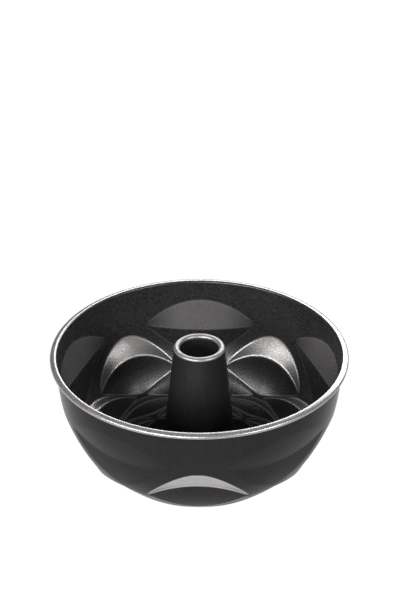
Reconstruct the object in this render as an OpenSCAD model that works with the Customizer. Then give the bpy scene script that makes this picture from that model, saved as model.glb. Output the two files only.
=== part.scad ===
// Rose-form ring cake pan: a pressed sheet shell with five tiers of petals,
// a wire rolled into its rim, and a tapered centre tube clinched to its floor.
// Origin: centre of the resting face. +Z is up. Millimetres.

/* [Pan] */
// Outside diameter of the rolled rim
rim_diameter = 250; // [230:1:280]
// Height of the rim's top above the resting face
pan_height = 108; // [90:1:130]
// Thickness of the pan's sheet
sheet = 0.9; // [0.7:0.1:1.2]
// Depth below the resting face that the wall's curve would reach at the middle
pole_drop = 5.4; // [4.5:0.1:8]
// How square the wall's curve is seen from above (2 is an ellipse)
wall_fullness = 3.75; // [3.5:0.05:4.5]
// How square the wall's curve is towards the floor (2 is an ellipse)
floor_fullness = 2.33; // [2.1:0.01:2.6]

/* [Rim] */
// Width of the rolled rim, from the wall's outside to the rim's outside
rim_roll = 5.1; // [4.6:0.1:7]
// Height of the rolled rim
rim_height = 4.2; // [3.8:0.1:5.4]
// Radius inside the bend between wall and rim
rim_bend = 0.7; // [0.4:0.1:1]
// Gap between the roll's end and the wall
hem_gap = 0.5; // [0.3:0.1:0.8]
// Gap left round the wire inside the roll
wire_gap = 0.25; // [0.22:0.01:0.35]

/* [Petals] */
// Petals in each tier; the tiers stand turned by half a petal from one another
petals = 5; // [4:1:6]
// Station of each tier's upper edge at the petal's middle, as an angle down the wall
tier_top = [7.8, 19.8, 41.4, 55.6, 63.8];
// Station of each tier's fold at the petal's middle
tier_fold = [21, 30.2, 45.8, 59, 67.5];
// Station where each tier's two lower edges meet
tier_point = [37.3, 52.3, 61.6, 66.2, 73.6];
// Station of each tier's side tips
tier_tip = [16.4, 41.2, 54.2, 62.2, 70.7];
// Half width of each tier's petals, as a share of half the spacing
tier_width = [0.703, 0.661, 0.93, 0.7, 1];
// Depth of the fold at each petal's middle
tier_depth = [3.2, 5.2, 4, 3, 2.2];
// Bow of each tier's upper edge (1 is straight, more is rounder at the middle)
tier_bow = [2, 1.8, 1.7, 1.6, 3.4];
// Bow of the folds
fold_bow = 2; // [1.6:0.1:2.4]
// Bow of the lower edges
point_bow = 1.4; // [1.2:0.1:1.4]

/* [Floor] */
// Width of the resting ring outside the lowest petals' points that stays unpressed
rest_margin = 4; // [3:0.1:5]
// Height of the recess that takes the tube's flange
hub_step = 3; // [2.5:0.1:5]
// Width of the slope from the resting ring up to that recess
hub_slope = 3.4; // [2.5:0.1:3.8]
// Gap between the flange's edge and the top of that slope
flange_gap = 3.5; // [3:0.1:4]
// Gap between the floor's hole and the tube
hub_gap = 0.7; // [0.4:0.1:1]

/* [Tube] */
// Outside radius of the tube where it leaves the floor
tube_foot = 32.5; // [30:0.1:33.5]
// Outside radius of the tube below its lip
tube_mouth = 21.7; // [19:0.1:24]
// Height of the tube's lip above the rim
tube_rise = 4.6; // [0:0.1:12]
// Thickness of the tube's sheet
tube_sheet = 0.9; // [0.7:0.1:1.2]
// Radius of the rolled lip's section
lip_radius = 2.65; // [2.2:0.05:3.2]
// Opening between the lip's rolled end and the tube's wall
lip_gap = 0.8; // [0.5:0.1:1.1]
// Reach of the tube's flange under the floor
flange_reach = 6.6; // [5:0.1:6.8]

/* [Hidden] */
$fn = 96;

// --- profile of the wall ---------------------------------------------------
rim_outer = rim_diameter / 2;
wall_outer = rim_outer - rim_roll;
bowl_reach = pan_height + pole_drop;
half_pitch = 180 / petals;
tiers = len(tier_top);
row_gap = 0.25;
least_span = 0.01;
probe = 0.05;
mark_steps = [4, 4, 2, 1];
bend_steps = 2;
nose_steps = 4;

// Radius and height of the bare wall's outside at a station angle
function bowl(a) = [
    wall_outer * pow(cos(a), 2 / wall_fullness),
    max(0, pan_height - bowl_reach * pow(sin(a), 2 / floor_fullness))
];

// Unit direction into the pan, square to the wall at a station angle
function inward(a) =
    let (along = bowl(a + probe) - bowl(a - probe))
    [along[1], -along[0]] / norm(along);

// --- petals ----------------------------------------------------------------
// Station where a tier's rows wait between two petals, clear of the tiers above and below
function rest_station(k) =
    k == 0 ? (tier_tip[0] + tier_top[1]) / 2
    : k == tiers - 1 ? tier_tip[k]
    : (tier_point[k - 1] + tier_top[k + 1]) / 2;

// Distance from a tier's petal middle, as a share of half the spacing
function off_middle(k, share) = k % 2 == 0 ? share : 1 - share;

// Three stations of a tier [edge, fold, lower edge] and the fold's depth
function tier_rows(k, share) =
    let (
        off = off_middle(k, share),
        reach = off / tier_width[k],
        waiting = tier_tip[k] + (rest_station(k) - tier_tip[k])
            * (off - tier_width[k]) / max(least_span, 1 - tier_width[k])
    )
    reach >= 1
        ? [[waiting - row_gap, 0], [waiting, 0], [waiting + row_gap, 0]]
        : [
            [bend(tier_top[k], tier_tip[k], reach, tier_bow[k]) - row_gap, 0],
            [bend(tier_fold[k], tier_tip[k], reach, fold_bow), tier_depth[k] * (1 - reach * reach)],
            [bend(tier_point[k], tier_tip[k], reach, point_bow) + row_gap, 0]
        ];

// From one station at the petal's middle to another at its tip, along a bowed edge
function bend(middle, tip, reach, bow) = middle + (tip - middle) * pow(reach, bow);

// All the petal rows of one column, from the rim down
function petal_rows(share) = [for (k = [0:tiers - 1]) each tier_rows(k, share)];

// --- one section through the sheet, as [radius, height] points --------------
nose = rim_height / 2;
nose_centre = rim_outer - nose;
bend_outer = rim_bend + sheet;
hub_hole = tube_foot + hub_gap;
step_inner = tube_foot + flange_reach + flange_gap;
rest_inner = step_inner + hub_slope;
rest_outer = bowl(tier_point[tiers - 1])[0] - rest_margin;

// Arc of points round a centre
function arc(centre, radius, from, to, steps) = [
    for (i = [0:steps])
        let (a = from + (to - from) * i / steps)
        centre + radius * [cos(a), sin(a)]
];

// Floor points for the sheet's underside, or for its upper side when lifted
function floor_line(lift) = [
    [hub_hole, hub_step + lift],
    [step_inner, hub_step + lift],
    [rest_inner, lift],
    [rest_outer, lift]
];

// Rolled rim, from the top of the wall's outside over the wire and back to its inside
rim_line = let (bend_centre = [wall_outer + rim_bend, pan_height - bend_outer]) [
    each arc(bend_centre, rim_bend, 180, 90, bend_steps),
    each arc([nose_centre, pan_height - nose], nose - sheet, 90, -90, nose_steps),
    [wall_outer + hem_gap, pan_height - rim_height + sheet],
    [wall_outer + hem_gap, pan_height - rim_height],
    each arc([nose_centre, pan_height - nose], nose, -90, 90, nose_steps),
    each arc(bend_centre, bend_outer, 90, 180, bend_steps)
];

// Wall points of one column, moved inward by the petals and by the given offset
function wall_line(rows, offset) = [
    bowl(rows[0][0] / 2) + offset * inward(rows[0][0] / 2),
    for (row = rows) bowl(row[0]) + (row[1] + offset) * inward(row[0])
];

// Points from last to first
function reversed(points) = [for (i = [len(points) - 1:-1:0]) points[i]];

// Closed section at a column: underside, outside, rim, inside, floor
function section(share) =
    let (rows = petal_rows(share))
    [
        each floor_line(0),
        each reversed(wall_line(rows, 0)),
        each rim_line,
        each wall_line(rows, sheet),
        each reversed(floor_line(sheet))
    ];

// --- columns round the pan --------------------------------------------------
// Shares of half a spacing where a tip lies, with even steps between them
marks = [0, 1 - tier_width[1], tier_width[0], tier_width[2], 1];
shares = [
    for (m = [0:len(marks) - 2]) for (i = [0:mark_steps[m] - 1])
        marks[m] + (marks[m + 1] - marks[m]) * i / mark_steps[m]
];
columns_each = len(shares);

// Turns a share within half-spacing h into [azimuth, share from the first tier's middle]
function column(h, i) =
    h % 2 == 0
        ? [90 + (h + shares[i]) * half_pitch, shares[i]]
        : let (back = i == 0 ? 1 : shares[columns_each - i])
            [90 + (h + 1 - back) * half_pitch, back];

columns = [for (h = [0:2 * petals - 1]) for (i = [0:columns_each - 1]) column(h, i)];

// --- pieces -----------------------------------------------------------------
module mould_body() {
    rings = [for (c = columns) section(c[1])];
    count = len(rings[0]);
    total = len(columns);
    points = [
        for (j = [0:total - 1]) for (p = rings[j])
            [p[0] * cos(columns[j][0]), p[0] * sin(columns[j][0]), p[1]]
    ];
    faces = [
        for (j = [0:total - 1]) for (i = [0:count - 1])
            let (
                a = j * count + i,
                b = j * count + (i + 1) % count,
                c = ((j + 1) % total) * count + (i + 1) % count,
                d = ((j + 1) % total) * count + i
            )
            each [[a, b, c], [a, c, d]]
    ];
    color("#3a3b3c") polyhedron(points, faces);
}

// Round wire that stiffens the rim, lying in the roll
module rim_wire() {
    wire_radius = nose - sheet - wire_gap;
    color("#b9bcc0")
        translate([0, 0, pan_height - nose])
        rotate_extrude()
        translate([nose_centre, 0])
        circle(wire_radius);
}

// Tapered tube: flange clinched under the floor, wall, and lip rolled inward
module centre_tube() {
    top = pan_height + tube_rise;
    lip_centre = [tube_mouth - lip_radius, top - lip_radius];
    wall_foot = [tube_foot, hub_step];
    lip_end = tube_mouth - tube_sheet - lip_gap;
    color("#343536") rotate_extrude() {
        polygon([
            wall_foot + [flange_reach, -tube_sheet],
            wall_foot + [flange_reach, 0],
            wall_foot,
            [tube_mouth, lip_centre[1]],
            [tube_mouth - tube_sheet, lip_centre[1]],
            wall_foot - [tube_sheet, tube_sheet]
        ]);
        difference() {
            translate(lip_centre) circle(lip_radius);
            translate(lip_centre) circle(lip_radius - tube_sheet);
            translate([lip_end, lip_centre[1] - lip_radius]) square([lip_gap, lip_radius]);
        }
    }
}

mould_body();
rim_wire();
centre_tube();
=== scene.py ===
import math

import bpy
import numpy as np
from mathutils import Matrix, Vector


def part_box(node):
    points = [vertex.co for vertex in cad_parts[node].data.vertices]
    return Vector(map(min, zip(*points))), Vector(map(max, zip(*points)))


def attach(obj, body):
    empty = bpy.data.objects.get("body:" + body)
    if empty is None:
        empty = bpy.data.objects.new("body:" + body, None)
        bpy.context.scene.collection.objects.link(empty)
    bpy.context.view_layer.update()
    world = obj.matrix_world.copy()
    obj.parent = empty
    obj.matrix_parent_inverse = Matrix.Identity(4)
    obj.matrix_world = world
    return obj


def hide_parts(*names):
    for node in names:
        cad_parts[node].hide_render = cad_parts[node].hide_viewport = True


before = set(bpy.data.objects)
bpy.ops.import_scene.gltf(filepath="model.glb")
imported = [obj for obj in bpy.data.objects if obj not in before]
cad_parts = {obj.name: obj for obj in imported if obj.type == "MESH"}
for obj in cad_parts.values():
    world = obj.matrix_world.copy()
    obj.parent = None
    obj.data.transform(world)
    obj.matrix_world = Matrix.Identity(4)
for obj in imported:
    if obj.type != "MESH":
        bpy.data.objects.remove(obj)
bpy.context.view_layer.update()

# Rose-form ring cake pan. The pan's and its finishes' lengths are millimetres, distances on the stage and
# to the camera are metres, and angles are degrees.
mm = 0.001
print("pan frame loaded:", sorted(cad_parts))

mouldHigh = np.array(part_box("mould_body")[1]) / mm
tubeHigh = np.array(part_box("centre_tube")[1]) / mm
rimRadius, rimTop = mouldHigh[1:]       # the rim's reach along Y, and its height
lipTop = tubeHigh[2]
longestCorner = 0.42        # a soft corner takes at most this share of the way to its neighbours


def turned(profile, azimuth):
    # a point at radius r and height z stands at (r cos a, r sin a, z) when its section is turned to azimuth a
    radius, height = profile[..., 0], profile[..., 1]
    return np.stack([radius * np.cos(azimuth), radius * np.sin(azimuth), height], axis=-1)


def ringMesh(name, points):
    # points[j, i] is point i of section j; each quad joins four neighbours, and both directions close
    columns, rows = points.shape[:2]
    index = np.arange(columns * rows).reshape(columns, rows)
    right = np.roll(index, -1, axis=0)
    quads = np.stack([index, right, np.roll(right, -1, axis=1), np.roll(index, -1, axis=1)], axis=-1)
    quads = quads.reshape(-1, 4)
    mesh = bpy.data.meshes.new(name)
    mesh.vertices.add(columns * rows)
    mesh.vertices.foreach_set("co", (points * mm).astype(np.float32).ravel())
    mesh.loops.add(quads.size)
    mesh.loops.foreach_set("vertex_index", quads.astype(np.int32).ravel())
    mesh.polygons.add(len(quads))
    mesh.polygons.foreach_set("loop_start", np.arange(0, quads.size, 4, dtype=np.int32))
    mesh.polygons.foreach_set("use_smooth", np.ones(len(quads), dtype=bool))
    mesh.update(calc_edges=True)
    mesh.validate()
    piece = bpy.data.objects.new(name, mesh)
    bpy.context.scene.collection.objects.link(piece)
    return piece


def paint(piece, name, values):
    # keeps one number for each vertex, for the finish to read by name
    layer = piece.data.attributes.new(name, "FLOAT", "POINT")
    layer.data.foreach_set("value", values.astype(np.float32).ravel())


def arc(centre, radius, start, end, count):
    # centre plus radius times the unit direction, as the angle runs evenly from start to end
    angle = np.radians(np.linspace(start, end, count))
    return np.stack([centre[0] + radius * np.cos(angle), centre[1] + radius * np.sin(angle)], axis=-1)


def between(start, end, count):
    # count points that divide the way from start to end, without either end
    share = np.linspace(0, 1, count + 2)[1:-1, None]
    return start + (end - start) * share


def softCorner(before, corner, after, reach, count):
    # a quadratic curve from a point short of the corner to one past it, pulled towards the corner itself
    def towards(point):
        way = point - corner
        length = np.linalg.norm(way, axis=-1, keepdims=True)
        return corner + way * np.minimum(reach / np.maximum(length, 1e-6), longestCorner)

    share = np.linspace(0, 1, count)[:, None]
    start, end = towards(before)[:, None], towards(after)[:, None]
    return start * (1 - share) ** 2 + corner[:, None] * 2 * share * (1 - share) + end * share ** 2


def straight(start, end, count):
    # count points between two columns of points, without either
    share = np.linspace(0, 1, count + 2)[1:-1, None]
    return start[:, None] * (1 - share) + end[:, None] * share


mould = {
    "petals": 5,
    "sheet": 0.9,
    "bowlReach": 113.4,
    "wallFullness": 3.75,
    "floorFullness": 2.33,
    "rimRoll": 5.1,
    "rimHeight": 4.2,
    "rimBend": 0.7,
    "rimCrown": 9,          # radius of the rim's rounded top
    "rimLean": 16,          # slope of that top where it meets the nose
    "hemGap": 0.5,
    "hemRound": 0.15,
    "tierTop": [7.8, 19.8, 41.4, 55.6, 63.8],      # stations down the wall
    "tierFold": [21, 30.2, 45.8, 59, 67.5],
    "tierPoint": [37.3, 52.3, 61.6, 66.2, 73.6],
    "tierTip": [16.4, 41.2, 54.2, 62.2, 70.7],
    "tierWidth": [0.703, 0.661, 0.93, 0.7, 1],    # share of half a petal's spacing
    "tierDepth": [3.2, 5.2, 4, 3, 2.2],
    "tierBow": [2, 1.8, 1.7, 1.6, 3.4],
    "foldBow": 2,
    "pointBow": 1.4,
    "rowGap": 0.22,         # degrees between the rows of a tier where it has closed up
    "edgeSoft": 1.5,        # how far each pressed edge is rounded to either side
    "faceRows": [3, 6, 1],  # rows on the slant, on the face below it, and between tiers
    "wallRows": 4,
    "restOuter": 60,
    "restInner": 46,
    "hubStep": 3,
    "hubSlope": 3.4,
    "hubHole": 33.2,
    "underRim": [0.8, 1.8],     # rows close under the rim keep its bend's shading off the wall
    "lastStation": 76,
    "stepsBetweenTips": [10, 10, 6, 4],
    "innerSheen": [0.12, 0.25, 0.6, 0.24, 0.24],     # painted highlight: how much brighter and more metallic the film is made on each tier's slant
    "outerSheen": [0.0, 0.64, 0.4, 0.2, 0.2],
    "innerCreaseGlint": [0.05, 0.35, 0.7, 0.7, 0.7],     # and the painted highlight lines along its corners
    "outerCreaseGlint": [0, 0.5, 0.3, 0, 0],
    "slantAcross": [[0, 0, 1, 1, 1], [1, 1, 1, 0, 0], [0, 0, 0, 0, 0]],     # over each corner's rows
    "creaseAcross": [0, 0.6, 1, 0.6, 0],
    "slantFade": 1.7,       # a higher fade keeps the sheen up closer to a petal's tips
    "creaseFade": 8,
    # painted highlight on the rim's roll
    "rimSheen": 0.5,
    "rimSheenFrom": 0.5,    # reached this far outside the wall
}
wallRadius = rimRadius - mould["rimRoll"]
mmPerDegree = 1.75          # how far a degree of station runs along the wall
slopeProbe = 0.05           # degrees to either side when the wall's direction is taken


def bowl(station):
    # radius is the wall's radius times a power of the cosine; depth is the reach times a power of the sine
    angle = np.radians(station)
    radius = wallRadius * np.cos(angle) ** (2 / mould["wallFullness"])
    height = rimTop - mould["bowlReach"] * np.sin(angle) ** (2 / mould["floorFullness"])
    return np.stack([radius, np.maximum(height, 0)], axis=-1)


def inwardFrom(station):
    # the wall's direction between two close stations, turned a quarter turn into the pan
    along = bowl(station + slopeProbe) - bowl(station - slopeProbe)
    square = np.stack([along[..., 1], -along[..., 0]], axis=-1)
    return square / np.linalg.norm(square, axis=-1, keepdims=True)


def tierCorners(tier, share):
    # upper edge, fold and lower edge of one tier as [station, depth], bowed from petal middle to petal tip
    top, fold, point, tip = (mould[key][tier] for key in ("tierTop", "tierFold", "tierPoint", "tierTip"))
    width = mould["tierWidth"][tier]
    last = len(mould["tierTop"]) - 1
    offMiddle = share if tier % 2 == 0 else 1 - share
    reach = np.minimum(offMiddle / width, 1)
    if tier == 0:
        waiting = (tip + mould["tierTop"][1]) / 2
    elif tier == last:
        waiting = tip
    else:
        waiting = (mould["tierPoint"][tier - 1] + mould["tierTop"][tier + 1]) / 2
    past = np.clip((offMiddle - width) / max(0.01, 1 - width), 0, 1)
    meeting = tip + (waiting - tip) * past

    def bowed(middle, bow):
        return np.where(reach < 1, middle + (tip - middle) * reach ** bow, meeting)

    edge = bowed(top, mould["tierBow"][tier]) - mould["rowGap"]
    middle = bowed(fold, mould["foldBow"])
    lower = bowed(point, mould["pointBow"]) + mould["rowGap"]
    depth = mould["tierDepth"][tier] * (1 - reach ** 2)
    flat = np.zeros_like(depth)
    return [np.stack(pair, axis=-1) for pair in ((edge, flat), (middle, depth), (lower, flat))]


def petalRows(share):
    # all tiers from the rim down: a soft corner at each edge, fold and lower edge, and even steps between;
    # the slant mask is 1 on a tier's slanting crescent and the corner mask is 1 along its corners, marking
    # where highlights are painted, and both fade towards the tips
    scale = np.array([mmPerDegree, 1])
    tiers = range(len(mould["tierTop"]))
    corners = [corner * scale for tier in tiers for corner in tierCorners(tier, share)]
    first = corners[0] * np.array([0, 1])
    last = np.full(len(share), mould["lastStation"] * mmPerDegree)
    path = [first] + corners + [np.stack([last, np.zeros(len(share))], axis=-1)]
    soft, around = mould["edgeSoft"], len(mould["creaseAcross"])
    near = [first + np.array([station * mmPerDegree, 0]) for station in mould["underRim"]]
    rows = [np.stack(near, axis=1), straight(near[-1], corners[0], mould["wallRows"])]
    count = len(near) + mould["wallRows"]
    slant, creaseGlint, tierOf = [0] * count, [0] * count, [0] * count
    for place in range(1, len(path) - 1):
        before, corner, after = path[place - 1:place + 2]
        tier, kind = divmod(place - 1, 3)       # kind 0 is the upper edge, 1 the fold, 2 the lower edge
        rows.append(softCorner(before, corner, after, soft, around))
        slant += mould["slantAcross"][kind]
        creaseGlint += mould["creaseAcross"]
        tierOf += [tier] * around
        if place < len(path) - 2:
            steps = mould["faceRows"][kind]
            nextCorner = softCorner(corner, after, path[place + 2], soft, count=2)
            rows.append(straight(rows[-1][:, -1], nextCorner[:, 0], steps))
            slant += [int(kind == 0)] * steps
            creaseGlint += [0] * steps
            tierOf += [tier] * steps
    rows = np.concatenate(rows, axis=1) / scale
    tierOf = np.array(tierOf)
    offMiddle = np.where(tierOf % 2 == 0, share[:, None], 1 - share[:, None])
    left = 1 - offMiddle / np.array(mould["tierWidth"])[tierOf]
    slant = np.clip(left * mould["slantFade"], 0, 1) * np.array(slant)
    creaseGlint = np.clip(left * mould["creaseFade"], 0, 1) * np.array(creaseGlint)
    return rows[..., 0], rows[..., 1], slant, creaseGlint, tierOf


def rimLoop():
    # from the wall's inside face of the bend under the roll, round its hem and nose, and back over the crown
    nose = mould["rimHeight"] / 2
    noseCentre = np.array([rimRadius - nose, rimTop - nose])
    bendOuter = mould["rimBend"] + mould["sheet"]
    bendCentre = (wallRadius + mould["rimBend"], rimTop - bendOuter)
    hem = wallRadius + mould["hemGap"]
    hemRound = mould["hemRound"]
    under = rimTop - mould["rimHeight"]
    crown, lean = mould["rimCrown"], mould["rimLean"]
    leaning = np.array([math.sin(math.radians(lean)), math.cos(math.radians(lean))])
    crownCentre = noseCentre + (nose - crown) * leaning
    crownTop = crownCentre + np.array([0, crown])
    lift = np.array([0, rimTop - crownTop[1]])
    inside = np.concatenate([
        arc(bendCentre, mould["rimBend"], 180, 90, count=5),
        arc(noseCentre, nose - mould["sheet"], 90, -90, count=9),
        [[hem + hemRound, under + mould["sheet"]], [hem, under + 0.7 * mould["sheet"]]],
        [[hem, under + 0.3 * mould["sheet"]], [hem + hemRound, under]],
    ])
    nosePart = arc(noseCentre, nose, -90, 90 - lean, count=15)
    nosePart += lift * np.clip((nosePart[:, 1:] - under) / (2 * nose), 0, 1)
    crownPart = arc(crownCentre, crown, 90 - lean, 90, count=9)[1:] + lift
    innerWall = wallRadius - mould["sheet"]
    bend = arc((innerWall + bendOuter, rimTop - bendOuter), bendOuter, 90, 180, count=9)
    along = (bend[:, 0] - bend[-1, 0]) / (bend[0, 0] - bend[-1, 0])
    bend[:, 0] = innerWall + (crownTop[0] - innerWall) * along
    return np.concatenate([inside, nosePart, crownPart, bend[1:]])


def floorLine(lift):
    # hub margin, slope and resting ring of the sheet's underside, or of its upper side when lifted
    stepInner = mould["restInner"] - mould["hubSlope"]
    marks = np.array([
        [mould["hubHole"], mould["hubStep"]],
        [stepInner, mould["hubStep"]],
        [mould["restInner"], 0],
        [mould["restOuter"], 0],
    ], dtype=float)
    slope = between(marks[1], marks[2], 3)
    down = (slope[:, 0] - stepInner) / mould["hubSlope"]
    slope[:, 1] = mould["hubStep"] * (0.5 + 0.5 * np.cos(np.pi * down))
    line = np.concatenate([
        marks[:1], between(marks[0], marks[1], 1), marks[1:2],
        slope,
        marks[2:3], between(marks[2], marks[3], 1), marks[3:],
    ])
    return line + np.array([0, lift])


def petalColumns():
    # shares of half a spacing with even steps between petal tips, there and back for every petal
    width = mould["tierWidth"]
    marks = [0, 1 - width[1], width[0], width[2], 1]
    shares = np.concatenate([
        np.linspace(low, high, steps, endpoint=False)
        for low, high, steps in zip(marks, marks[1:], mould["stepsBetweenTips"])
    ])
    there = np.concatenate([shares, 2 - np.concatenate([[1], shares[:0:-1]])])
    turn = (2 * np.arange(mould["petals"])[:, None] + there).ravel()
    share = 1 - np.abs(1 - turn % 2)
    return math.pi / 2 + turn * math.pi / mould["petals"], share


def makeMould():
    # a section is the underside, the outside upwards, the rim, the inside downwards and the floor
    azimuth, share = petalColumns()
    station, depth, slant, creaseGlint, tierOf = petalRows(share)
    skin, inward = bowl(station), inwardFrom(station)
    outside = skin + inward * depth[..., None]
    inside = outside + inward * mould["sheet"]
    under, rim, over = floorLine(0), rimLoop(), floorLine(mould["sheet"])[::-1]
    every = (len(azimuth), 1, 1)
    section = np.concatenate([
        np.tile(under[None], every),
        outside[:, ::-1],
        np.tile(rim[None], every),
        inside,
        np.tile(over[None], every),
    ], axis=1)
    shell = ringMesh("mouldShell", turned(section, azimuth[:, None]))

    def level(line, value=0):
        return np.full((len(azimuth), len(line)), value)

    def allRound(mask, outerKey, innerKey, rimValue):
        outer, inner = (mask * np.array(mould[key])[tierOf] for key in (outerKey, innerKey))
        parts = [level(under), outer[:, ::-1], level(rim, rimValue), inner, level(over)]
        return np.concatenate(parts, axis=1)

    # painted highlight on the rim: the film turns brighter and more metallic over the roll, outside the wall
    rimSheen = mould["rimSheen"] * np.clip((rim[:, 0] - wallRadius) / mould["rimSheenFrom"], 0, 1)
    # the painted highlights go to the film by vertex: a brighter, more metallic film on the slants and the
    # rim's roll, and highlight lines along the tiers' corners
    paint(shell, "sheen", allRound(slant, "outerSheen", "innerSheen", rimSheen))
    paint(shell, "edge", allRound(creaseGlint, "outerCreaseGlint", "innerCreaseGlint", 0))
    row = np.arange(section.shape[1])
    outerRow = (row < len(under) + station.shape[1] - 1) | (row == section.shape[1] - 1)
    outerFilm = np.tile(outerRow, len(azimuth)).astype(np.int32)
    shell.data.polygons.foreach_set("material_index", outerFilm)
    return shell


tube = {
    "sheet": 0.9,
    "footRadius": 32.5,
    "footHeight": 3,
    "flangeReach": 6.6,
    "mouthRadius": 21.7,
    "lipRadius": 2.65,
    "lipTurn": 286,         # how far the lip is rolled inward
    "lipGroove": 0.16,      # dip along the top of the lip
    "grooveWidth": 0.5,
    # painted highlight along the top of the rolled lip
    "lipSheen": 0.42,
    "lipSheenFrom": 0.6,    # reached this far above the middle of the lip
    "edgeRound": 0.2,
    "footRound": 0.6,       # the bend from flange to wall starts this far out
    "footBend": [0.15, 0.1],        # and its middle stands this far out and up
    "bendShare": [0.002, 0.01],     # shares of the taper at the bend's middle and at its end
    "wallPoints": 12,
    "columns": 240,
}


def makeTube():
    # flange, foot bend, straight taper, lip rolled inward, and the same way back on the inner side
    sheet, foot = tube["sheet"], tube["footRadius"]
    lipCentre = np.array([tube["mouthRadius"] - tube["lipRadius"], lipTop - tube["lipRadius"]])
    taper = np.array([tube["mouthRadius"] - foot, lipCentre[1] - tube["footHeight"]])
    flangeEnd = foot + tube["flangeReach"]
    outerFoot = np.array([foot, tube["footHeight"]])
    outerTop = np.array([tube["mouthRadius"], lipCentre[1]])
    roll = arc(lipCentre, tube["lipRadius"], 0, tube["lipTurn"], count=46)
    fromGroove = (roll[:, 0] - lipCentre[0]) / tube["grooveWidth"]
    dip = np.exp(-fromGroove ** 2) * (roll[:, 1] > lipCentre[1])
    roll[:, 1] -= tube["lipGroove"] * dip
    hollow = arc(lipCentre, tube["lipRadius"] - sheet, tube["lipTurn"], 0, count=30)
    flangeTop = np.array([flangeEnd - tube["edgeRound"], outerFoot[1]])
    footStart = outerFoot + [tube["footRound"], 0]
    bendMiddle, bendEnd = (outerFoot + taper * share for share in tube["bendShare"])
    loop = np.concatenate([
        [flangeTop - [0, sheet], [flangeEnd, outerFoot[1] - 0.75 * sheet]],
        [[flangeEnd, outerFoot[1] - 0.25 * sheet], flangeTop],
        between(flangeTop, footStart, 2),
        [footStart, bendMiddle + tube["footBend"]],
        between(bendEnd, outerTop, tube["wallPoints"]),
        roll,
        hollow,
        between(outerTop - [sheet, 0], outerFoot - [sheet, 0], tube["wallPoints"]),
        [outerFoot - [sheet, 0.3 * sheet], outerFoot - [0.4 * sheet, sheet]],
    ])
    azimuth = np.linspace(0, 2 * math.pi, tube["columns"], endpoint=False)
    section = np.tile(loop[None], (tube["columns"], 1, 1))
    pipe = ringMesh("tubeShell", turned(section, azimuth[:, None]))
    # painted highlight over the lip's top, for the film to read
    above = (section[..., 1] - lipCentre[1]) / tube["lipSheenFrom"]
    paint(pipe, "sheen", tube["lipSheen"] * np.clip(above, 0, 1))
    return pipe


class Socket:
    # wraps a socket, so that sums, differences and products of masks read as plain expressions
    def __init__(self, kit, socket):
        self.kit, self.socket = kit, socket

    def combine(self, operation, first, second):
        return self.kit.node("ShaderNodeMath", {"operation": operation}, {0: first, 1: second})

    def __add__(self, other):
        return self.combine("ADD", self, other)

    def __sub__(self, other):
        return self.combine("SUBTRACT", self, other)

    def __rsub__(self, other):
        return self.combine("SUBTRACT", other, self)

    def __mul__(self, other):
        return self.combine("MULTIPLY", self, other)

    __radd__ = __add__
    __rmul__ = __mul__


class Finish:
    # one material and its node tree
    def __init__(self, name):
        self.material = bpy.data.materials.new(name)
        self.material.use_nodes = True
        self.tree = self.material.node_tree
        self.tree.nodes.clear()
        self.place = self.node("ShaderNodeTexCoord", {}, {}, "Object")

    def node(self, kind, settings, inputs, output=0):
        made = self.tree.nodes.new(kind)
        for key, value in settings.items():
            if key == "stops":
                self.setStops(made.color_ramp, value)
            else:
                setattr(made, key, value)
        for key, value in inputs.items():
            if isinstance(value, Socket):
                self.tree.links.new(value.socket, made.inputs[key])
            else:
                made.inputs[key].default_value = value
        return Socket(self, made.outputs[output])

    def setStops(self, ramp, stops):
        while len(ramp.elements) < len(stops):
            ramp.elements.new(1)
        for element, (position, value) in zip(ramp.elements, stops):
            element.position = position
            element.color = (value, value, value, 1)

    def noise(self, size, detail=2.0, roughness=0.5):
        # size is the width of the largest patches in millimetres
        return self.node("ShaderNodeTexNoise", {}, {
            "Vector": self.place, "Scale": 1 / (size * mm), "Detail": detail, "Roughness": roughness})

    def attribute(self, name):
        return self.node("ShaderNodeAttribute", {"attribute_name": name}, {}, "Fac")

    def limit(self, value):
        return self.node("ShaderNodeClamp", {}, {"Value": value})

    def ramp(self, value, stops):
        return self.node("ShaderNodeValToRGB", {"stops": stops}, {"Fac": value})

    def blend(self, share, first, second):
        return self.node("ShaderNodeMix", {"data_type": "RGBA"}, {0: share, 6: first, 7: second}, 2)

    def bump(self, height, distance, strength, under=None):
        inputs = {"Height": height, "Distance": distance * mm, "Strength": strength}
        if under is not None:
            inputs["Normal"] = under
        return self.node("ShaderNodeBump", {}, inputs)

    def close(self, inputs):
        shader = self.node("ShaderNodeBsdfPrincipled", {}, inputs)
        output = self.tree.nodes.new("ShaderNodeOutputMaterial")
        self.tree.links.new(shader.socket, output.inputs["Surface"])
        return self.material


coating = {
    "dark": (0.0055, 0.0056, 0.0058),
    "light": (0.0095, 0.0095, 0.0095),
    "flake": (0.2, 0.189, 0.184),
    "flakeSize": 0.38,
    "flakeShare": 0.7,      # flakes cover what is above this in an even spread from 0 to 1
    # more flakes where the highlight is painted
    "flakeOnSheen": 1.3,
    "flakeBump": (0.02, 0.35),      # depth in millimetres, and strength
    # colour of the painted highlight, a bright metal
    "paintedGleamColour": (0.45, 0.43, 0.42),
    "sheenSmooth": 0.05,
    "grainSize": 1.3,
    "grainBump": (0.03, 0.5),
    "cloudSize": 38,
    "sheenByGrain": (0.8, 0.4),     # least share of the sheen, and how much the grain adds
    "creaseLeast": 0.5,
    "cloudRough": 0.1,
    "grainRough": 0.08,
    "inside": {"tint": (1, 1, 1), "ior": 1.5, "flakes": 0.25, "roughness": 0.18},
    "outside": {"tint": (1, 1, 1.03), "ior": 1.16, "flakes": 0.06, "roughness": 0.18},
    # the tube takes the same film in a darker tint, a painted shade that darkens the tube in the pan's middle
    "chimney": {"tint": (0.72, 0.72, 0.74), "ior": 1.45, "flakes": 0.1, "roughness": 0.3},
}


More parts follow.
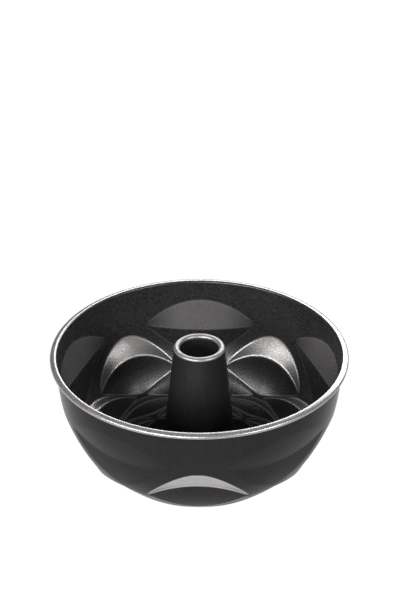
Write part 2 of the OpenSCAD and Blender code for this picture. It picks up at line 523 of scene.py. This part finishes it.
def coatedMetal(name, side):
    # dark non-stick film: slow clouds, a fine orange-peel, small metal flakes that catch the light,
    # and a painted highlight: a brighter, more metallic film with more flakes on the slants, creases,
    # rim and lip that the painted numbers mark
    film, own = Finish(name), coating[side]
    cloud = film.noise(coating["cloudSize"], detail=3)
    grain = film.noise(coating["grainSize"], detail=2, roughness=0.6)
    cells = film.node("ShaderNodeTexVoronoi", {}, {
        "Vector": film.place, "Scale": 1 / (coating["flakeSize"] * mm)}, "Color")
    chance = film.node("ShaderNodeSeparateColor", {}, {"Color": cells}, "Red")
    # painted highlight: the marked slants, creases, rim and lip blend the film towards a bright metallic
    # colour and raise its metallic share
    least, added = coating["sheenByGrain"]
    sheen = film.attribute("sheen") * (least + added * grain)
    edge = film.attribute("edge") * (coating["creaseLeast"] + cloud)
    paintedGleam = film.limit(sheen + edge)
    shown = own["flakes"] + coating["flakeOnSheen"] * sheen
    flake = film.limit(shown * film.ramp(chance, [(coating["flakeShare"], 0), (1, 1)]))
    dark, light = (
        [*(shade * tone for shade, tone in zip(coating[key], own["tint"])), 1] for key in ("dark", "light"))
    plain = film.blend(flake, film.blend(cloud, dark, light), [*coating["flake"], 1])
    rough = own["roughness"] + coating["cloudRough"] * cloud + coating["grainRough"] * grain
    return film.close({
        "Base Color": film.blend(paintedGleam, plain, [*coating["paintedGleamColour"], 1]),
        "Roughness": rough - coating["sheenSmooth"] * paintedGleam,
        "Metallic": film.limit(flake + paintedGleam),
        "IOR": own["ior"],
        "Normal": film.bump(grain, *coating["grainBump"], film.bump(chance, *coating["flakeBump"])),
    })


drawnSteel = {
    "dark": (0.5, 0.5, 0.51),
    "light": (0.62, 0.62, 0.63),
    "patchSize": 12,
    "lineScale": 300,       # lines to the metre
    "lineStretch": 60,      # the lines lie this much closer along the height than round the ring
    "lineBump": (0.02, 0.4),
    "roughness": (0.25, 0.2),       # least, and how much the lines add
}


def drawnWire(name):
    # bright steel with fine lines round the ring and faint darker patches
    steel = Finish(name)
    stretched = steel.node("ShaderNodeMapping", {}, {
        "Vector": steel.place, "Scale": (1, 1, drawnSteel["lineStretch"])})
    lines = steel.node("ShaderNodeTexNoise", {}, {
        "Vector": stretched, "Scale": drawnSteel["lineScale"], "Detail": 3})
    patches = steel.noise(drawnSteel["patchSize"], detail=2)
    least, added = drawnSteel["roughness"]
    return steel.close({
        "Base Color": steel.blend(patches, [*drawnSteel["dark"], 1], [*drawnSteel["light"], 1]),
        "Metallic": 1.0,
        "Roughness": least + added * lines,
        "Normal": steel.bump(lines, *drawnSteel["lineBump"]),
    })


stage = {
    "floorSize": 40.0,
    "floorColour": (0.06, 0.06, 0.06),
    "floorGlow": 0.95,      # the floor is a lit table
    "worldColour": (0.95, 0.97, 1.0, 1),
    "worldStrength": 0.12,
    "floorTooth": 2.5,      # millimetres across the floor's faint tone patches
    "floorTones": (1, 0.98),
    "panelDistance": 2.0,   # from the rim's middle
    "panels": [             # azimuth, elevation, width and height in metres, power in watts
        ("backPanel", 70, 29, (1.95, 0.7), 42),
        ("leftPanel", -138, 26, (1.5, 0.52), 44),
        ("rightPanel", -42, 26, (1.1, 0.5), 30),
        ("frontPanel", -106, 15, (1.1, 0.5), 44),
    ],
}


def makeFloor():
    # a flat square under the pan, with a faint tooth so that it isn't one flat tone
    half = stage["floorSize"] / 2
    mesh = bpy.data.meshes.new("floor")
    corners = [(-half, -half, 0), (half, -half, 0), (half, half, 0), (-half, half, 0)]
    mesh.from_pydata(corners, [], [(0, 1, 2, 3)])
    floor = bpy.data.objects.new("floor", mesh)
    bpy.context.scene.collection.objects.link(floor)
    paper = Finish("palePaper")
    tooth = paper.noise(stage["floorTooth"], detail=2)
    light, dark = ([*(share * tone for tone in stage["floorColour"]), 1] for share in stage["floorTones"])
    colour = paper.blend(tooth, light, dark)
    floor.data.materials.append(paper.close({
        "Base Color": colour, "Roughness": 0.8, "Specular IOR Level": 0.1,
        "Emission Color": (1, 1, 1, 1), "Emission Strength": stage["floorGlow"]}))


def direction(azimuth, elevation):
    # unit direction from the angle round +Z and the angle above the horizontal
    flat, rise = math.radians(azimuth), math.radians(elevation)
    return np.array([math.cos(rise) * math.cos(flat), math.cos(rise) * math.sin(flat), math.sin(rise)])


def softPanel(name, azimuth, elevation, size, power):
    # a panel stands at the given direction from the rim's middle and faces it
    light = bpy.data.lights.new(name, "AREA")
    light.shape = "RECTANGLE"
    light.size, light.size_y = size
    light.energy = power
    panel = bpy.data.objects.new(name, light)
    bpy.context.scene.collection.objects.link(panel)
    panel.visible_camera = False
    away = direction(azimuth, elevation)
    facePoint(panel, np.array([0, 0, rimTop * mm]) + away * stage["panelDistance"], away)


def facePoint(thing, place, back):
    # places a thing whose own -Z looks along the opposite of back, with its X level
    back = back / np.linalg.norm(back)
    side = np.cross([0, 0, 1], back)
    side = side / np.linalg.norm(side)
    matrix = np.eye(4)
    matrix[:3] = np.stack([side, np.cross(back, side), back, place], axis=-1)
    thing.matrix_world = Matrix(matrix.tolist())


def lightStage():
    # an even dim surround, with soft panels behind, to the left, to the right and in front
    world = bpy.data.worlds.new("studio")
    world.use_nodes = True
    surround = world.node_tree.nodes["Background"]
    surround.inputs["Color"].default_value = stage["worldColour"]
    surround.inputs["Strength"].default_value = stage["worldStrength"]
    bpy.context.scene.world = world
    for panel in stage["panels"]:
        softPanel(*panel)


camera = {
    "azimuth": 270.64,
    "elevation": 31.745,
    "distance": 1.2701,
    "lens": 90.75,
    "aimUp": 0.0418,
    "aimRight": 0.00104,
    "sensor": 36,           # millimetres, as the lens is
    "clipStart": 0.01,
}


def placeCamera():
    # stands back from the rim's middle along its direction, and looks a little above and right of it
    back = direction(camera["azimuth"], camera["elevation"])
    side = direction(camera["azimuth"] + 90, 0)
    rimMiddle = np.array([0, 0, rimTop * mm])
    place = rimMiddle + back * camera["distance"]
    aim = rimMiddle + np.cross(back, side) * camera["aimUp"] + side * camera["aimRight"]
    lens = bpy.data.cameras.new("panCamera")
    lens.lens = camera["lens"]
    lens.sensor_width = camera["sensor"]
    lens.clip_start = camera["clipStart"]
    eye = bpy.data.objects.new("panCamera", lens)
    bpy.context.scene.collection.objects.link(eye)
    facePoint(eye, place, place - aim)
    bpy.context.scene.camera = eye
    bpy.context.scene.view_settings.view_transform = "Standard"


placeCamera()
makeFloor()
lightStage()
print("stage set")

shell = makeMould()
shell.data.materials.append(coatedMetal("innerCoating", "inside"))
shell.data.materials.append(coatedMetal("outerCoating", "outside"))
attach(shell, "root")
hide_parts("mould_body")
print("mould shell:", len(shell.data.polygons), "faces")

chimney = makeTube()
chimney.data.materials.append(coatedMetal("tubeCoating", "chimney"))
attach(chimney, "root")
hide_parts("centre_tube")
print("tube:", len(chimney.data.polygons), "faces")

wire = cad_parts["rim_wire"]
wire.data.materials.clear()
wire.data.materials.append(drawnWire("drawnSteel"))
print("wire finished")
